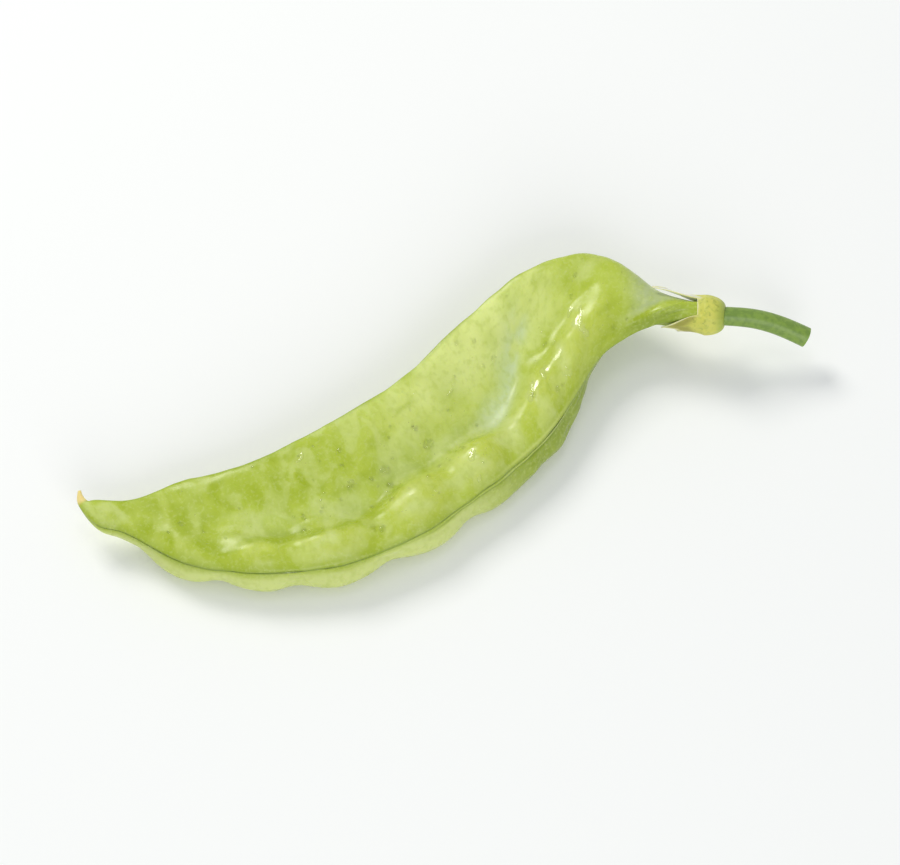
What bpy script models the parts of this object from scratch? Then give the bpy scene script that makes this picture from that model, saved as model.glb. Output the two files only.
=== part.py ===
"""A snow pea pod as picked, lying on its side: the pod, its calyx and a stub of its stalk.

Lengths are millimetres in the driving dimensions and metres in the meshes. The pod's tip points
to -X, its stalk to +X, its suture faces -Y, and it lies on Z = 0.
"""

import math
from typing import NamedTuple

import bpy
import numpy as np

MM = 0.001


class Section(NamedTuple):
    """One cross-section of the pod, where its two valves meet at the suture and at the back."""

    suture: tuple  # the edge that bears the peas
    back: tuple  # the other edge
    upper: float  # how far the upper valve stands off the line between the edges
    lower: float  # how far the lower valve hangs below it
    lean: float  # how much of that fullness leans to the suture
    belly: float  # how far the lower valve swells out past the suture
    dish: float  # how far the upper valve is pressed in behind the peas


class Swelling(NamedTuple):
    """The bulge of one pea in both valves."""

    along: float  # from the stalk end, along the middle of the pod
    depth: float  # from the suture, over the skin
    upper: float
    lower: float
    length: float  # half its length
    width: float  # half its width


class Sepal(NamedTuple):
    """One lobe of the calyx, laid back over the neck."""

    share: float  # its middle, as a share of the way round the neck from the suture
    length: float  # from the end of the neck to its tip
    half: float  # half its width, as a share of the way round


# Sections from the stalk end, over the hump and the long flat blade, to the beak and its style
SECTIONS = [
    Section((33.2, 2.4, 8.1), (33.8, 4.4, 5.9), 1.5, 1.5, 0.0, 0.0, 0.0),
    Section((29.4, 3.8, 7.4), (30.3, 7.0, 6.0), 1.9, 1.8, 0.1, 0.0, 0.0),
    Section((25.9, 4.9, 5.7), (27.2, 11.2, 7.9), 2.1, 2.8, 0.2, 0.2, 0.0),
    Section((21.7, 3.9, 5.0), (23.3, 14.9, 8.3), 2.2, 4.3, 0.0, 0.8, 0.3),
    Section((17.2, 0.8, 4.8), (17.3, 15.7, 8.3), 1.7, 6.0, 0.05, 3.0, 1.0),
    Section((12.1, -4.2, 4.9), (10.0, 13.6, 7.8), 1.2, 4.8, 0.2, 5.2, 1.6),
    Section((5.2, -8.3, 4.9), (0.8, 8.6, 7.3), 0.9, 4.9, 0.4, 4.8, 1.6),
    Section((-5.3, -12.6, 4.8), (-9.2, 4.4, 6.9), 0.9, 4.7, 0.4, 3.8, 1.3),
    Section((-18.7, -14.4, 4.7), (-18.2, 2.3, 6.6), 1.0, 4.5, 0.4, 3.2, 1.1),
    Section((-29.2, -11.6, 4.3), (-26.7, 1.1, 5.8), 1.0, 4.1, 0.25, 2.9, 0.8),
    Section((-36.9, -6.7, 4.0), (-34.0, 1.9, 4.9), 0.9, 3.5, 0.1, 1.9, 0.5),
    Section((-41.9, -1.6, 4.2), (-40.2, 1.4, 5.2), 0.7, 2.2, 0.2, 1.8, 0.2),
    Section((-44.8, 1.0, 4.7), (-43.8, 2.5, 5.4), 0.6, 1.1, 0.0, 0.7, 0.0),
    Section((-45.3, 2.6, 5.0), (-44.3, 2.6, 5.5), 0.45, 0.5, 0.0, 0.1, 0.0),
    Section((-45.2, 3.4, 5.3), (-44.6, 3.3, 5.6), 0.3, 0.3, 0.0, 0.0, 0.0),
    Section((-44.9, 4.0, 5.6), (-44.7, 4.0, 5.7), 0.22, 0.22, 0.0, 0.0, 0.0),
]

SWELLINGS = [
    Swelling(15.2, 5.0, 1.0, 1.2, 5.2, 4.4),
    Swelling(19.8, 4.4, 0.9, 1.2, 4.2, 4.2),
    Swelling(25.4, 4.6, 1.1, 1.2, 5.0, 4.4),
    Swelling(31.2, 4.2, 0.4, 0.8, 4.8, 4.0),
    Swelling(37.4, 3.9, 1.6, 1.1, 5.6, 4.3),
    Swelling(46.2, 3.8, 1.6, 1.1, 5.8, 4.3),
    Swelling(56.4, 3.6, 1.2, 1.4, 5.8, 4.1),
    Swelling(65.0, 3.2, 0.9, 1.3, 5.4, 3.8),
    Swelling(73.4, 3.4, 0.6, 1.6, 5.2, 3.8),
]

# The lower valve's swelling past the suture fades towards the back by this power
BELLY_FADE = 1.5

# The suture stands out as a low seam, less so where the pod is slimmer than SEAM_FULL_WIDTH
SEAM_HEIGHT = 0.3
SEAM_WIDTH = 0.55
SEAM_FULL_WIDTH = 8.0
SEAM_LEAST = 0.35

# The calyx: a cup round the end of the pod, with five sepals laid back over the neck
CUP_GAP = 0.3
CUP_WALL = 0.65
CUP_RIM = 0.9  # how far the cup reaches over the neck between the sepals
CUP_RIM_THINNING = 0.08
CUP_DEPTH = 2.5  # from the end of the neck to the stalk
CUP_FLOOR = 0.4  # from the end of the neck to the floor of the cup
STALK_RADIUS = 1.15
SEPALS = [
    Sepal(0.33, 6.8, 0.075),
    Sepal(0.56, 3.3, 0.068),
    Sepal(0.71, 3.7, 0.068),
    Sepal(0.83, 3.2, 0.068),
    Sepal(0.945, 5.4, 0.090),
]
SEPAL_TAPER = 0.8  # below 1 the sepals' edges are bowed out
FITTED_NECK = max(s.length for s in SEPALS) + 1  # the length of neck that the calyx is fitted to

# The stalk: a stub that leaves the calyx along its axis and bends down to the cut
STALK_GAP = 0.3
STALK_BENDS = [(39.2, 1.2, 6.6), (42.1, -0.2, 5.6), (44.8, -1.9, 4.3)]
STALK_SPREAD = 1.1  # its radius at the cut, as a share of its radius at the calyx

# Colours in linear light, and roughness
POD_SKIN = ((0.46, 0.56, 0.07), 0.35)
CALYX_SKIN = ((0.63, 0.63, 0.10), 0.5)
STALK_SKIN = ((0.21, 0.33, 0.05), 0.45)

# How finely each surface is divided
POD_RINGS = 84
VALVE_STEPS = 17
ARC_STEPS = 200
EDGE_CROWDING = 0.72
NECK_RINGS = 40
END_CROWDING = 0.6
CUP_KNOB_RINGS = 6
CUP_SLEEVE_RINGS = 6
STALK_RINGS = 12
STALK_SIDES = 16


def natural_spline(knots, values, where):
    """Cubic curve through values at knots, straight at both ends, read at where."""
    knots = np.asarray(knots, float)
    values = np.asarray(values, float)
    steps = np.diff(knots)
    count = len(knots)
    system = np.eye(count)
    target = np.zeros_like(values)
    slopes = np.diff(values, axis=0) / steps[:, None]
    for i in range(1, count - 1):
        system[i, i - 1 : i + 2] = steps[i - 1], 2 * (steps[i - 1] + steps[i]), steps[i]
        target[i] = 6 * (slopes[i] - slopes[i - 1])
    bend = np.linalg.solve(system, target)
    i = np.clip(np.searchsorted(knots, where) - 1, 0, count - 2)
    step = steps[i][:, None]
    before = (where - knots[i])[:, None]
    after = (knots[i + 1] - where)[:, None]
    curve = (bend[i] * after**3 + bend[i + 1] * before**3) / (6 * step)
    curve += (values[i] / step - bend[i] * step / 6) * after
    curve += (values[i + 1] / step - bend[i + 1] * step / 6) * before
    return curve


def unit(vectors):
    """The vectors scaled to length 1."""
    return vectors / np.linalg.norm(vectors, axis=-1, keepdims=True)


def crowded(count, crowding):
    """Shares from 0 to 1 in count steps that get closer towards both ends."""
    share = np.linspace(0, 1, count + 1)
    return share - crowding * np.sin(2 * math.pi * share) / (2 * math.pi)


def middle_lengths():
    """Distance of each section from the stalk end, along the middle of the pod."""
    middle = np.array([(np.array(s.suture) + s.back) / 2 for s in SECTIONS])
    return np.concatenate([[0], np.cumsum(np.linalg.norm(np.diff(middle, axis=0), axis=1))])


def valve(width, rise, lean, belly, dish, side):
    """One valve's profiles, a row for each section: across from the back, out, and over the skin.

    Out follows a sine from the suture to the back, leaned to the suture. The upper valve, side 1,
    is dished, and the lower one, side -1, swells out past the suture.
    """
    turn = np.linspace(0, math.pi, ARC_STEPS)[None, :]
    share = (1 + np.cos(turn)) / 2
    across = width * share
    out = side * rise * np.sin(turn) * (1 + lean * np.cos(turn))
    if side > 0:
        out = out - dish * np.sin(math.pi * share) ** 2
    else:
        across = across + belly * np.sin(turn) * share**BELLY_FADE
    steps = np.hypot(np.diff(across), np.diff(out))
    skin = np.concatenate([np.zeros((len(across), 1)), np.cumsum(steps, axis=1)], axis=1)
    wanted = skin[:, -1:] * crowded(VALVE_STEPS, EDGE_CROWDING)
    rows = zip(wanted, skin, across, out)
    return np.array([[np.interp(w, s, a), np.interp(w, s, o), w] for w, s, a, o in rows])


def outward(rings):
    """Unit normals of a tube of rings, pointing out of it."""
    along = np.gradient(rings, axis=0)
    around = np.roll(rings, -1, axis=1) - np.roll(rings, 1, axis=1)
    normals = unit(np.cross(around, along))
    outside = rings - rings.mean(axis=1, keepdims=True)
    return normals * np.sign(np.sum(normals * outside))


def pod_rings(along):
    """Rings of the pod's skin at the distances along: suture, upper valve, back, lower valve."""
    knots = middle_lengths()
    suture = natural_spline(knots, [s.suture for s in SECTIONS], along)
    back = natural_spline(knots, [s.back for s in SECTIONS], along)
    forms = natural_spline(knots, [s[2:] for s in SECTIONS], along)
    upper, lower, lean, belly, dish = forms.T[:, :, None]
    width = np.linalg.norm(suture - back, axis=1, keepdims=True)
    across_way = (suture - back) / width
    out_way = unit(np.cross(np.gradient((suture + back) / 2, along, axis=0), across_way))
    top = valve(width, upper, lean, belly, dish, 1)
    under = valve(width, lower, lean, belly, dish, -1)[:, :, -2:0:-1]
    across, out, skin = np.concatenate([top, under], axis=2).transpose(1, 0, 2)
    rings = back[:, None] + across[..., None] * across_way[:, None] + out[..., None] * out_way[:, None]
    is_upper = np.arange(skin.shape[1]) <= VALVE_STEPS
    lift = np.zeros_like(skin)
    for pea in SWELLINGS:
        away = ((along[:, None] - pea.along) / pea.length) ** 2 + ((skin - pea.depth) / pea.width) ** 2
        lift += np.where(is_upper, pea.upper, pea.lower) * np.clip(1 - away, 0, None) ** 2
    slimness = np.clip(width / SEAM_FULL_WIDTH, SEAM_LEAST, 1)
    lift += SEAM_HEIGHT * slimness * np.exp(-((skin / SEAM_WIDTH) ** 2))
    return rings + lift[..., None] * outward(rings)


def between_rings(rings, rows):
    """One point for each column of the tube of rings, at a fractional ring number."""
    below = np.clip(np.floor(rows).astype(int), 0, len(rings) - 2)
    share = (rows - below)[..., None]
    columns = np.arange(rings.shape[1])
    return rings[below, columns] * (1 - share) + rings[below + 1, columns] * share


def sepal_reach(shares):
    """How far the calyx reaches over the neck at each share of the way round it."""
    reach = np.full_like(shares, CUP_RIM)
    for sepal in SEPALS:
        away = np.abs((shares - sepal.share + 0.5) % 1 - 0.5) / sepal.half
        reach += (sepal.length - CUP_RIM) * np.clip(1 - away, 0, None) ** SEPAL_TAPER
    return reach


def neck_rings():
    """Fine rings of the neck, from the stalk end, for the calyx to fit."""
    return pod_rings(np.linspace(0, FITTED_NECK, NECK_RINGS))


def neck_end(neck):
    """The middle of the neck's end, and the way that it points."""
    return neck[0].mean(axis=0), -unit(np.gradient(neck.mean(axis=1), axis=0)[0])


def calyx_rings():
    """Rings from the stalk end over the knob and the sepals to their rim, then back inside the cup."""
    neck = neck_rings()
    normals = outward(neck)
    around = np.concatenate([[0], np.cumsum(np.linalg.norm(np.diff(neck[0], axis=0), axis=1))])
    closing = np.linalg.norm(neck[0, -1] - neck[0, 0])
    reach = sepal_reach(around / (around[-1] + closing))
    to_rows = (NECK_RINGS - 1) / FITTED_NECK
    centre, axis = neck_end(neck)
    spokes = unit(neck[0] - centre - ((neck[0] - centre) @ axis)[:, None] * axis)
    neck_radius = np.linalg.norm(neck[0] - centre, axis=1)[:, None]
    wall = CUP_GAP + CUP_WALL
    rings = []
    for turn in np.linspace(math.pi / 2, 0, CUP_KNOB_RINGS, endpoint=False):
        bulge = STALK_RADIUS + (neck_radius + wall - STALK_RADIUS) * math.cos(turn)
        rings.append(centre + spokes * bulge + axis * CUP_DEPTH * math.sin(turn))
    shares = np.linspace(0, 1, CUP_SLEEVE_RINGS)
    for share in shares:
        thickness = CUP_GAP + CUP_WALL * (1 - CUP_RIM_THINNING * share)
        rows = reach * share * to_rows
        rings.append(between_rings(neck + thickness * normals, rows))
    for share in shares[::-1]:
        rings.append(between_rings(neck + CUP_GAP * normals, reach * share * to_rows))
    rings.append(centre + spokes * neck_radius + axis * CUP_FLOOR)
    return np.array(rings)


def stalk_rings():
    """Round rings along the stalk, a little wider at the cut."""
    centre, axis = neck_end(neck_rings())
    path = np.vstack([centre + axis * (CUP_DEPTH + STALK_GAP), STALK_BENDS])
    knots = np.concatenate([[0], np.cumsum(np.linalg.norm(np.diff(path, axis=0), axis=1))])
    where = np.linspace(0, knots[-1], STALK_RINGS)
    middle = natural_spline(knots, path, where)
    forward = unit(np.gradient(middle, axis=0))
    sideways = unit(np.cross(forward, (0, 0, 1)))
    upward = np.cross(sideways, forward)
    turn = np.linspace(0, 2 * math.pi, STALK_SIDES, endpoint=False)[None, :, None]
    radius = STALK_RADIUS * np.linspace(1, STALK_SPREAD, STALK_RINGS)[:, None, None]
    around = np.cos(turn) * sideways[:, None] + np.sin(turn) * upward[:, None]
    return middle[:, None] + radius * around


def closed_mesh(name, rings):
    """A closed mesh of the rings, with a fan to a middle point at each end."""
    count, sides = rings.shape[:2]
    points = np.vstack([rings.reshape(-1, 3), rings[0].mean(axis=0), rings[-1].mean(axis=0)]) * MM
    ring, side = np.meshgrid(np.arange(count - 1), np.arange(sides), indexing="ij")
    here = (ring * sides + side).ravel()
    beside = (ring * sides + (side + 1) % sides).ravel()
    first = np.stack([here, here + sides, beside + sides], axis=1)
    second = np.stack([here, beside + sides, beside], axis=1)
    side = np.arange(sides)
    after = (side + 1) % sides
    start = np.stack([np.full(sides, count * sides), side, after], axis=1)
    end = np.stack([np.full(sides, count * sides + 1), (count - 1) * sides + after,
                    (count - 1) * sides + side], axis=1)
    faces = np.vstack([first, second, start, end])
    corners = points[faces]
    volume = np.sum(corners[:, 0] * np.cross(corners[:, 1], corners[:, 2]))
    if volume < 0:
        faces = faces[:, ::-1]
    mesh = bpy.data.meshes.new(name)
    mesh.from_pydata(points.tolist(), [], faces.tolist())
    mesh.shade_smooth()
    return mesh


def material(name, colour, roughness):
    """A plain Principled material."""
    made = bpy.data.materials.new(name)
    made.use_nodes = True
    shader = made.node_tree.nodes["Principled BSDF"]
    shader.inputs["Base Color"].default_value = (*colour, 1)
    shader.inputs["Roughness"].default_value = roughness
    shader.inputs["Metallic"].default_value = 0
    return made


def add(name, rings, finish):
    """Puts a closed mesh of the rings into the scene as an object."""
    thing = bpy.data.objects.new(name, closed_mesh(name, rings))
    thing.data.materials.append(finish)
    bpy.context.scene.collection.objects.link(thing)
    return thing


def lay_down(rings):
    """The rings with what reaches below Z = 0 pressed flat, so that the pod lies on small flat spots."""
    rings[..., 2] = np.maximum(rings[..., 2], 0)
    return rings


def build():
    """Models the three pieces."""
    for thing in list(bpy.data.objects):
        bpy.data.objects.remove(thing, do_unlink=True)
    length = middle_lengths()[-1]
    skin = pod_rings(length * crowded(POD_RINGS, END_CROWDING))
    add("pod", lay_down(skin), material("pod_skin", *POD_SKIN))
    add("calyx", calyx_rings(), material("calyx_skin", *CALYX_SKIN))
    add("stalk", stalk_rings(), material("stalk_skin", *STALK_SKIN))


build()
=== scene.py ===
"""The looks of a snow pea pod as picked: its skin, its calyx, its stalk and the water on it.

Lengths are millimetres in the classes' fields and metres in the meshes. The pod lies on Z = 0 with
its tip towards -X, its stalk towards +X and its suture towards -Y, as the frame does. A place on
the skin is given by its distance along the pod from the stalk end and over the skin from the suture.
"""

import logging
import math
from dataclasses import dataclass, field, replace
from enum import Enum

import bpy
import numpy as np
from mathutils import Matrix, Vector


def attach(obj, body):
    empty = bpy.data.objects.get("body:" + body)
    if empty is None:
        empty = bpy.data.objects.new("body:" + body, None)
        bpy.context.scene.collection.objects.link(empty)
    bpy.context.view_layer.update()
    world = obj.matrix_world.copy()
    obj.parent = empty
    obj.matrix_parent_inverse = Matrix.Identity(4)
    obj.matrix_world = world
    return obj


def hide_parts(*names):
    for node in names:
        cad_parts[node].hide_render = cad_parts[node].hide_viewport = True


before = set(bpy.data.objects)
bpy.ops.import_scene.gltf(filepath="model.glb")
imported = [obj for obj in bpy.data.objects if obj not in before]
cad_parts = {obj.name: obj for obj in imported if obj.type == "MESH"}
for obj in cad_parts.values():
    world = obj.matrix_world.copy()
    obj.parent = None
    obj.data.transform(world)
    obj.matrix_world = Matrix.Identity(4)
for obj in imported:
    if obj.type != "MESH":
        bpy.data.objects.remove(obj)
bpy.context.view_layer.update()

MM = 0.001
# How far red, green and blue light spread in green flesh, as shares of a finish's own scale.
GREEN_SPREAD = (0.8, 1.0, 0.25)
Vector3 = tuple[float, float, float]
log = logging.getLogger("snow pea pod")


class Side(Enum):
    """The pod's two valves: the one that faces up, and the one that it lies on."""

    UPPER = 1
    LOWER = -1


@dataclass(frozen=True)
class Section:
    """One cross-section of the pod, where its two valves meet at the suture and at the back."""

    suture: Vector3
    back: Vector3
    upper: float
    lower: float
    lean: float
    belly: float
    dish: float

    def form(self) -> tuple[float, ...]:
        """The sizes that shape the two valves."""
        return self.upper, self.lower, self.lean, self.belly, self.dish


@dataclass(frozen=True)
class Swelling:
    """The bulge of one pea in both valves, placed along the pod and over the skin from the suture."""

    along: float
    depth: float
    upper: float
    lower: float
    length: float
    width: float


@dataclass(frozen=True)
class Sepal:
    """One lobe of the calyx: its place and its half width as shares of the way round the neck.

    Its length runs from the stalk's side of the rim, and its tip lifts off the pod.
    """

    share: float
    length: float
    lift: float
    half: float
    papery: float


@dataclass(frozen=True)
class Crease:
    """One point of a crease: its place along the pod and from the suture, its sink and its width.

    The width is the one on the suture's side, over which the peas' swell falls away.
    """

    along: float
    depth: float
    sink: float
    inner: float = 1.2


@dataclass(frozen=True)
class Patch:
    """A blotch on the upper valve: its middle, its half length and half width, and its tone.

    The tone is 1 where the wax is thick and pale, and -1 where the bare flesh shows deep. Pale tones
    on the peas' crests are painted highlights, and dark ones just inside the fold are painted shade.
    For a patch of wetness it is how much water lies there.
    """

    along: float
    depth: float
    length: float
    width: float
    tone: float


@dataclass(frozen=True)
class Ribbon:
    """A run of water on the upper valve: the places it passes, its half width and its height."""

    places: tuple[tuple[float, float], ...]
    width: float
    height: float


@dataclass(frozen=True)
class Zone:
    """A soft-edged zone of the skin, by pairs of places: where it has faded out, and where it is full.

    The pairs of the run lie along the pod, and those of the band over the skin from the suture.
    """

    run: tuple[float, ...] = ()
    band: tuple[float, ...] = ()

    def share(self, along: np.ndarray, skin: np.ndarray) -> np.ndarray:
        """1 where every pair is full, 0 where one has faded out, and S-curves between.

        Args:
            along: Distances from the stalk end.
            skin: Distances from the suture, or from what the band is measured from.

        Returns:
            The product of the pairs' S-curves.
        """
        share = np.ones(np.broadcast_shapes(along.shape, skin.shape))
        for where, places in ((along, self.run), (skin, self.band)):
            for faded, full in zip(places[::2], places[1::2]):
                share = share * smooth(where, faded, full)
        return share


@dataclass(frozen=True)
class Ripple:
    """Soft noise in space, by its height, its middle wavelength and its seed."""

    height: float
    length: float
    seed: int

    def at(self, points: np.ndarray) -> np.ndarray:
        """The noise's height at each place."""
        return self.height * waves(points, self.length, self.seed)


@dataclass(frozen=True)
class Survey:
    """What is measured over the pod's fine skin, in grids of its rings or in columns.

    Over is the distance from the suture to the back. The line is the fold's distance from the
    suture, with its sink and its inner width, and the edge is the shoulder's, with its drop.
    """

    rings: np.ndarray
    along: np.ndarray
    skin: np.ndarray
    over: np.ndarray
    swell: np.ndarray
    upper: np.ndarray
    line: np.ndarray
    sink: np.ndarray
    inner: np.ndarray
    edge: np.ndarray
    drop: np.ndarray


@dataclass(frozen=True)
class Lamp:
    """A square soft light: its place from the camera's azimuth in degrees, side, watts and colour."""

    name: str
    azimuth: float
    elevation: float
    distance: float
    side: float
    power: float
    colour: str


SECTIONS = (
    Section((33.2, 2.4, 8.1), (33.8, 4.4, 5.9), 1.5, 1.5, 0.0, 0.0, 0.0),
    Section((29.4, 3.8, 7.4), (30.3, 7.0, 6.0), 1.9, 1.8, 0.1, 0.0, 0.0),
    Section((25.9, 4.9, 5.7), (27.2, 11.2, 7.9), 2.1, 2.8, 0.2, 0.2, 0.0),
    Section((21.7, 3.9, 5.0), (23.3, 14.9, 8.3), 2.2, 4.3, 0.0, 0.8, 0.3),
    Section((17.2, 0.8, 4.8), (17.3, 15.7, 8.3), 1.7, 6.0, 0.05, 3.0, 1.0),
    Section((12.1, -4.2, 4.9), (10.0, 13.6, 7.8), 1.2, 4.8, 0.2, 5.2, 1.6),
    Section((5.2, -8.3, 4.9), (0.8, 8.6, 7.3), 0.9, 4.9, 0.4, 4.8, 1.6),
    Section((-5.3, -12.6, 4.8), (-9.2, 4.4, 6.9), 0.9, 4.7, 0.4, 3.8, 1.3),
    Section((-18.7, -14.4, 4.7), (-18.2, 2.3, 6.6), 1.0, 4.5, 0.4, 3.2, 1.1),
    Section((-29.2, -11.6, 4.3), (-26.7, 1.1, 5.8), 1.0, 4.1, 0.25, 2.9, 0.8),
    Section((-36.9, -6.7, 4.0), (-34.0, 1.9, 4.9), 0.9, 3.5, 0.1, 1.9, 0.5),
    Section((-41.9, -1.6, 4.2), (-40.2, 1.4, 5.2), 0.7, 2.2, 0.2, 1.8, 0.2),
    Section((-44.8, 1.0, 4.7), (-43.8, 2.5, 5.4), 0.6, 1.1, 0.0, 0.7, 0.0),
    Section((-45.3, 2.6, 5.0), (-44.3, 2.6, 5.5), 0.45, 0.5, 0.0, 0.1, 0.0),
    Section((-45.2, 3.4, 5.3), (-44.6, 3.3, 5.6), 0.3, 0.3, 0.0, 0.0, 0.0),
    Section((-44.9, 4.0, 5.6), (-44.7, 4.0, 5.7), 0.15, 0.15, 0.0, 0.0, 0.0),
)

SWELLINGS = tuple(Swelling(*row) for row in (
    (15.2, 5.0, 1.0, 1.2, 5.2, 4.4), (19.8, 4.4, 0.9, 1.2, 4.2, 4.2),
    (25.4, 4.6, 1.1, 1.2, 5.0, 4.4), (31.2, 4.2, 0.4, 0.8, 4.8, 4.0),
    (37.4, 3.9, 1.6, 1.1, 5.6, 4.3), (46.2, 3.8, 1.6, 1.1, 5.8, 4.3),
    (56.4, 3.6, 1.2, 1.4, 5.8, 4.1), (65.0, 3.2, 0.9, 1.3, 5.4, 3.8),
    (73.4, 3.4, 0.6, 1.6, 5.2, 3.8),
))

FOLD = tuple(Crease(*row) for row in (
    (8.0, 9.0, 0.0, 3.0), (14.0, 10.6, 0.15, 3.0), (18.6, 10.9, 0.35, 2.8), (22.1, 11.7, 0.5, 2.6),
    (25.1, 11.2, 0.7, 2.2), (27.1, 9.8, 0.75, 2.2), (29.1, 8.0, 0.75, 2.0), (31.3, 6.7, 0.75, 1.9),
    (33.5, 6.5, 0.8, 1.8), (36.0, 7.2, 0.95, 1.7), (39.7, 8.0, 1.1, 1.8), (43.7, 8.1, 1.1, 1.8),
    (46.8, 8.1, 1.1, 1.9), (49.5, 7.2, 1.0, 1.8), (53.0, 6.0, 0.8, 1.6), (59.2, 5.3, 0.65, 1.6),
    (63.3, 5.2, 0.55, 1.3), (66.5, 3.6, 0.45, 1.2), (69.5, 3.0, 0.3, 1.1), (72.5, 4.0, 0.25),
    (77.0, 2.2, 0.0),
))

SHOULDER = tuple(Crease(*row) for row in (
    (0.0, 2.7, 0.25), (3.0, 2.6, 0.3), (7.5, 2.3, 0.25), (12.5, 2.0, 0.0),
))

# Blotches of wax and bare flesh, and painted light: the pale ones a few millimetres from the suture sit
# on the peas' crests as painted highlights, and the dark ones just on the peas' side of the fold are
# painted shade.
PATCHES_AND_PAINTED_LIGHT = tuple(Patch(*row) for row in (
    (68.9, 10.9, 1.3, 1.2, -0.9), (67.9, 8.7, 0.7, 1.0, -0.6), (63.2, 9.6, 1.7, 1.0, -0.5),
    (60.8, 10.2, 1.2, 2.6, -0.8), (57.3, 11.7, 1.8, 2.2, -1.2), (52.4, 9.8, 2.4, 0.8, -0.8),
    (46.8, 12.8, 1.6, 1.0, -0.6), (41.5, 14.4, 1.8, 0.8, -0.5), (60.6, 15.2, 4.6, 0.9, -0.8),
    (52.6, 5.2, 2.2, 1.0, -0.7), (62.2, 4.6, 4.4, 1.1, -0.9), (73.4, 2.7, 3.4, 1.1, -1.1),
    (46.0, 7.8, 3.4, 1.4, -0.8), (37.8, 6.6, 3.0, 1.2, -0.9), (30.0, 5.8, 1.4, 0.9, -0.5),
    (24.4, 8.6, 1.0, 1.4, -0.7), (20.2, 9.2, 2.2, 1.3, -0.7), (19.6, 14.6, 1.8, 1.2, -0.5),
    (8.5, 1.4, 3.2, 1.2, -1.1), (11.5, 4.4, 2.2, 1.4, -0.6), (13.6, 1.6, 3.0, 1.0, -0.6),
    (72.0, 5.8, 2.4, 2.0, -0.8), (76.4, 5.2, 2.2, 2.4, -0.6), (72.6, 9.0, 2.0, 1.3, -0.6),
    (48.5, 9.8, 2.2, 1.4, -0.5), (59.4, 13.4, 0.8, 2.0, 0.9), (81.4, 1.6, 2.2, 1.1, 1.1),
    (56.0, 7.9, 2.8, 1.1, 0.7), (65.8, 6.6, 2.6, 1.5, 0.7), (34.0, 13.6, 4.0, 2.2, 0.5),
    (32.0, 3.4, 1.7, 2.8, 0.9), (40.4, 2.7, 3.0, 1.3, 0.8), (47.2, 2.8, 2.2, 1.4, 0.8),
    (57.4, 2.7, 2.0, 1.1, 0.9), (25.6, 2.8, 1.6, 1.2, 0.6), (65.6, 2.3, 2.0, 0.9, 0.6),
    (20.6, 4.4, 1.3, 1.6, 0.6), (14.3, 11.4, 1.6, 1.2, 0.6), (84.6, 1.2, 1.5, 1.0, 1.1),
))

WET = tuple(Patch(*row) for row in (
    (16.3, 5.4, 0.9, 2.2, 1.0), (17.3, 8.2, 0.6, 0.7, 0.9), (20.4, 5.5, 1.1, 1.6, 0.55),
    (23.8, 5.4, 0.9, 1.0, 1.0), (20.7, 2.7, 0.5, 0.6, 1.0), (26.7, 5.0, 1.0, 1.4, 1.0),
    (36.8, 4.6, 0.6, 0.6, 0.8), (38.4, 3.7, 0.8, 0.7, 1.0), (39.0, 1.4, 0.6, 0.5, 0.9),
    (47.8, 3.1, 0.8, 1.4, 0.55), (57.4, 3.3, 0.9, 0.8, 0.4), (12.6, 4.6, 0.4, 0.5, 0.7),
))

SEPALS = (
    Sepal(0.33, 6.8, 0.45, 0.075, 1.0),
    Sepal(0.56, 3.3, 0.20, 0.068, 0.0),
    Sepal(0.71, 3.7, 0.25, 0.068, 0.0),
    Sepal(0.83, 3.2, 0.20, 0.068, 0.0),
    Sepal(0.945, 5.4, 0.15, 0.090, 0.0),
)

RIBBONS = (
    Ribbon(((15.9, 7.3), (16.0, 6.4), (16.4, 5.4), (16.2, 4.4)), 0.36, 0.10),
    Ribbon(((16.3, 4.5), (15.9, 3.7)), 0.30, 0.10),
    Ribbon(((17.2, 8.3), (17.5, 7.9)), 0.30, 0.10),
    Ribbon(((23.8, 5.9), (24.0, 5.0)), 0.38, 0.10),
    Ribbon(((20.8, 2.9), (20.5, 2.5)), 0.38, 0.12),
    Ribbon(((26.1, 5.8), (26.6, 5.0), (27.3, 4.6)), 0.40, 0.10),
    Ribbon(((38.1, 3.9), (38.7, 3.5)), 0.38, 0.10),
    Ribbon(((39.0, 1.5), (39.3, 1.2)), 0.22, 0.10),
    Ribbon(((34.7, 13.4), (35.1, 12.7), (35.9, 12.5)), 0.14, 0.10),
    Ribbon(((56.9, 15.2), (57.3, 14.4), (57.9, 14.1)), 0.20, 0.10),
)

BEADED = (
    Ribbon(((41.4, 11.8), (41.8, 12.1), (41.5, 11.4)), 0.20, 0.12),
    Ribbon(((40.8, 9.4), (41.5, 9.4)), 0.42, 0.26),
    Ribbon(((47.2, 9.6), (47.8, 9.7)), 0.40, 0.26),
    Ribbon(((52.0, 9.9), (52.6, 9.4)), 0.30, 0.20),
)

LAMPS = (
    Lamp("window", 218.0, 44.0, 700.0, 260.0, 2.35, "#FFFDF8"),
    Lamp("overhead", 200.0, 80.0, 600.0, 160.0, 0.15, "#FFFFFF"),
    Lamp("fill", 12.0, 30.0, 700.0, 420.0, 1.8, "#FFFFFF"),
)


def unit(vectors: np.ndarray) -> np.ndarray:
    """The vectors scaled to length 1."""
    return vectors / np.linalg.norm(vectors, axis=-1, keepdims=True)


def lengths(path: np.ndarray) -> np.ndarray:
    """The distance of each of a path's points from its first, along the path."""
    return np.concatenate([[0], np.cumsum(np.linalg.norm(np.diff(path, axis=0), axis=1))])


def bell(values: np.ndarray, middle: object, width: object) -> np.ndarray:
    """A bell curve: e to the minus the squared distance from the middle, counted in widths."""
    return np.exp(-(((values - middle) / width) ** 2))


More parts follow.
